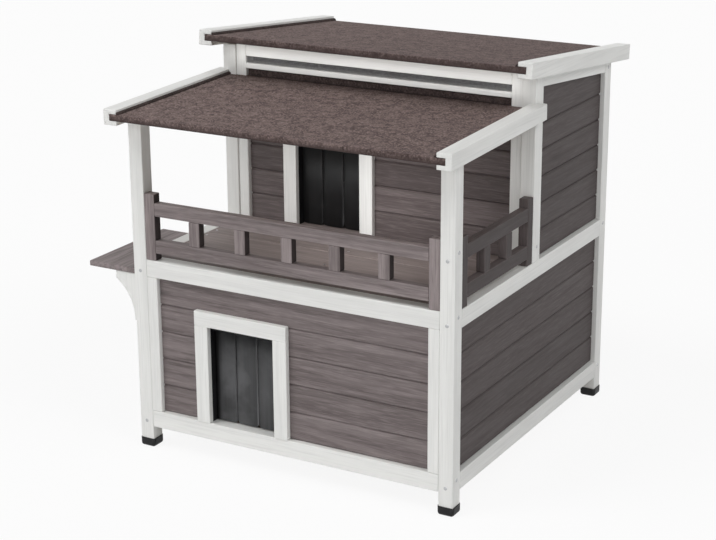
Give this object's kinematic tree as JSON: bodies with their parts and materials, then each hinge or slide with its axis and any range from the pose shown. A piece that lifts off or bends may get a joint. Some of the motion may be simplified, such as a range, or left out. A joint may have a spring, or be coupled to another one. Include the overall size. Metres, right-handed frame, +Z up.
{
  "type": "outdoor cat house",
  "caption": "Two-storey wooden outdoor cat house with a railed balcony, hinged felt roof, strip-curtain doorways and a jump step on its side.",
  "frame": {"origin": "middle of the footprint with roofs and step, at floor level", "axes": "+X to the right of someone facing the front, +Y to the back, +Z up"},
  "size_m": [0.829, 0.814, 0.7994],
  "materials": {
    "white_paint": "white paint, satin",
    "grey_stain": "grey stain, matt",
    "raw_wood": "untreated",
    "deck_wood": "oiled, matt",
    "roof_felt": "mineral grit, matt",
    "black_plastic": "matt",
    "clear_strip": "smoky clear, glossy",
    "zinc_steel": "zinc plated"
  },
  "bodies": {
    "house": {"front_left_post": "white_paint", "front_right_post": "white_paint", "back_left_post": "white_paint", "back_right_post": "white_paint", "upper_posts": "white_paint", "front_bottom_rail": "white_paint", "back_bottom_rail": "white_paint", "left_bottom_rail": "white_paint", "right_bottom_rail": "white_paint", "front_mid_rail": "white_paint", "back_mid_rail": "white_paint", "left_mid_rail": "white_paint", "right_mid_rail": "white_paint", "front_stiles": "white_paint", "upper_front_stiles": "white_paint", "vent_rail_bar": "white_paint", "head_rail": "white_paint", "back_top_rail": "white_paint", "side_top_rails": "white_paint", "lower_door_trim": "white_paint", "upper_door_trim": "white_paint", "balcony_roof_barges": "white_paint", "balcony_roof_beams": "white_paint", "step_brackets": "white_paint", "front_boards": "grey_stain", "upper_front_boards": "grey_stain", "left_boards": "grey_stain", "right_boards": "grey_stain", "back_boards": "grey_stain", "upper_back_boards": "grey_stain", "upper_left_boards": "grey_stain", "upper_right_boards": "grey_stain", "front_railing": "grey_stain", "right_railing": "grey_stain", "step_board": "grey_stain", "floor_bearers": "raw_wood", "floor_panel": "raw_wood", "deck_bearers": "raw_wood", "balcony_roof_panel": "raw_wood", "deck_planks": "deck_wood", "balcony_roof_felt": "roof_felt", "foot_caps": "black_plastic", "lower_door_lining": "black_plastic", "upper_door_lining": "black_plastic", "strip_headers": "black_plastic", "hinge_wall_leaves": "zinc_steel", "hinge_pins": "zinc_steel", "frame_screws": "zinc_steel"},
    "lid": {"lid_panel": "raw_wood", "lid_felt": "roof_felt", "lid_barges": "white_paint", "lid_battens": "white_paint", "hinge_lid_leaves": "zinc_steel"},
    "lower_strip_1": {"lower_strip_1": "clear_strip"},
    "lower_strip_2": {"lower_strip_2": "clear_strip"},
    "lower_strip_3": {"lower_strip_3": "clear_strip"},
    "upper_strip_1": {"upper_strip_1": "clear_strip"},
    "upper_strip_2": {"upper_strip_2": "clear_strip"},
    "upper_strip_3": {"upper_strip_3": "clear_strip"}
  },
  "joints": [
    {"name": "lid_hinge", "type": "hinge", "parent": "house", "child": "lid", "pos_m": [0.0475, 0.3523, 0.72271], "axis": [-1, 0, 0], "range_deg": [0, 88]},
    {"name": "lower_strip_1_swing", "type": "hinge", "parent": "house", "child": "lower_strip_1", "pos_m": [-0.108, -0.331, 0.2644], "axis": [1, 0, 0], "range_deg": [-80, 80]},
    {"name": "lower_strip_2_swing", "type": "hinge", "parent": "house", "child": "lower_strip_2", "pos_m": [-0.0595, -0.331, 0.2644], "axis": [1, 0, 0], "range_deg": [-80, 80]},
    {"name": "lower_strip_3_swing", "type": "hinge", "parent": "house", "child": "lower_strip_3", "pos_m": [-0.011, -0.331, 0.2644], "axis": [1, 0, 0], "range_deg": [-80, 80]},
    {"name": "upper_strip_1_swing", "type": "hinge", "parent": "house", "child": "upper_strip_1", "pos_m": [-0.108, 0.005, 0.5804], "axis": [1, 0, 0], "range_deg": [-80, 80]},
    {"name": "upper_strip_2_swing", "type": "hinge", "parent": "house", "child": "upper_strip_2", "pos_m": [-0.0595, 0.005, 0.5804], "axis": [1, 0, 0], "range_deg": [-80, 80]},
    {"name": "upper_strip_3_swing", "type": "hinge", "parent": "house", "child": "upper_strip_3", "pos_m": [-0.011, 0.005, 0.5804], "axis": [1, 0, 0], "range_deg": [-80, 80]}
  ]
}
